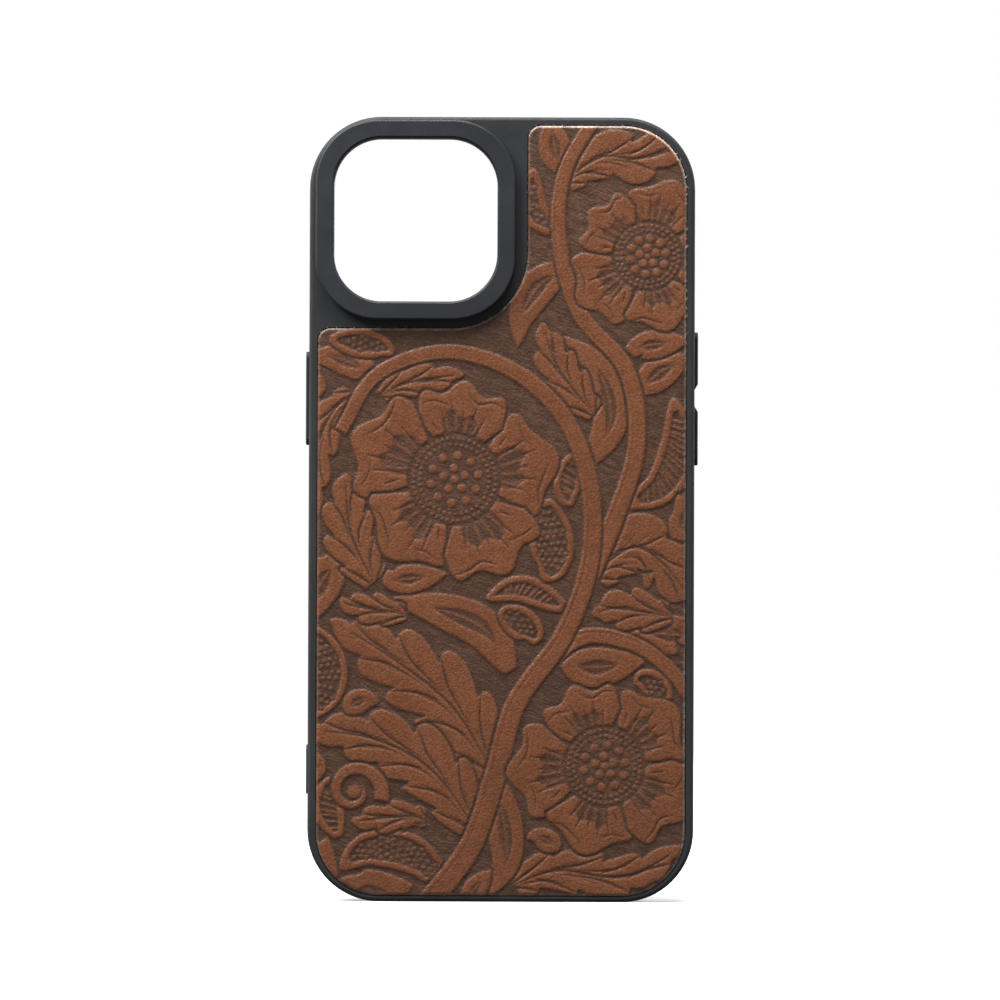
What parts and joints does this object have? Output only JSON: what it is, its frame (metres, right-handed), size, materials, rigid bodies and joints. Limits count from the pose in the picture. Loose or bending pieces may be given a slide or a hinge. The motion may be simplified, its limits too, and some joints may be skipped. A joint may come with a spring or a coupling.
{
  "type": "phone case",
  "caption": "Slim phone case: soft black bumper frame, hard back plate with a tooled brown leather panel, raised camera ring and side buttons that press in.",
  "frame": {"origin": "middle of the case's footprint, on its bottom end, with the case standing upright", "axes": "+Z towards the camera end, +X towards the volume buttons, +Y out of the open side, where the phone's glass faces; the leather back faces -Y"},
  "size_m": [0.0756, 0.0134, 0.1508],
  "materials": {
    "soft_black": "fine matte moulded TPU",
    "hard_black": "matte moulded polycarbonate",
    "ring_black": "satin, smooth",
    "microfibre": "short brushed nap",
    "adhesive": "clear tacky film",
    "tooled_leather": "waxed, embossed floral relief, raw cut edge"
  },
  "bodies": {
    "case": {"bumper_frame": "soft_black", "back_plate": "hard_black", "microfibre_lining": "microfibre", "adhesive_film": "adhesive", "leather_panel": "tooled_leather", "camera_guard_ring": "ring_black"},
    "power": {"power_button": "soft_black"},
    "volume_up": {"volume_up_button": "soft_black"},
    "volume_down": {"volume_down_button": "soft_black"}
  },
  "joints": [
    {"name": "power_press", "type": "slide", "parent": "case", "child": "power", "axis": [1, 0, 0], "range_m": [0, 0.0003], "stiffness_N_per_m": 1000},
    {"name": "volume_up_press", "type": "slide", "parent": "case", "child": "volume_up", "axis": [-1, 0, 0], "range_m": [0, 0.0003], "stiffness_N_per_m": 1000},
    {"name": "volume_down_press", "type": "slide", "parent": "case", "child": "volume_down", "axis": [-1, 0, 0], "range_m": [0, 0.0003], "stiffness_N_per_m": 1000}
  ]
}
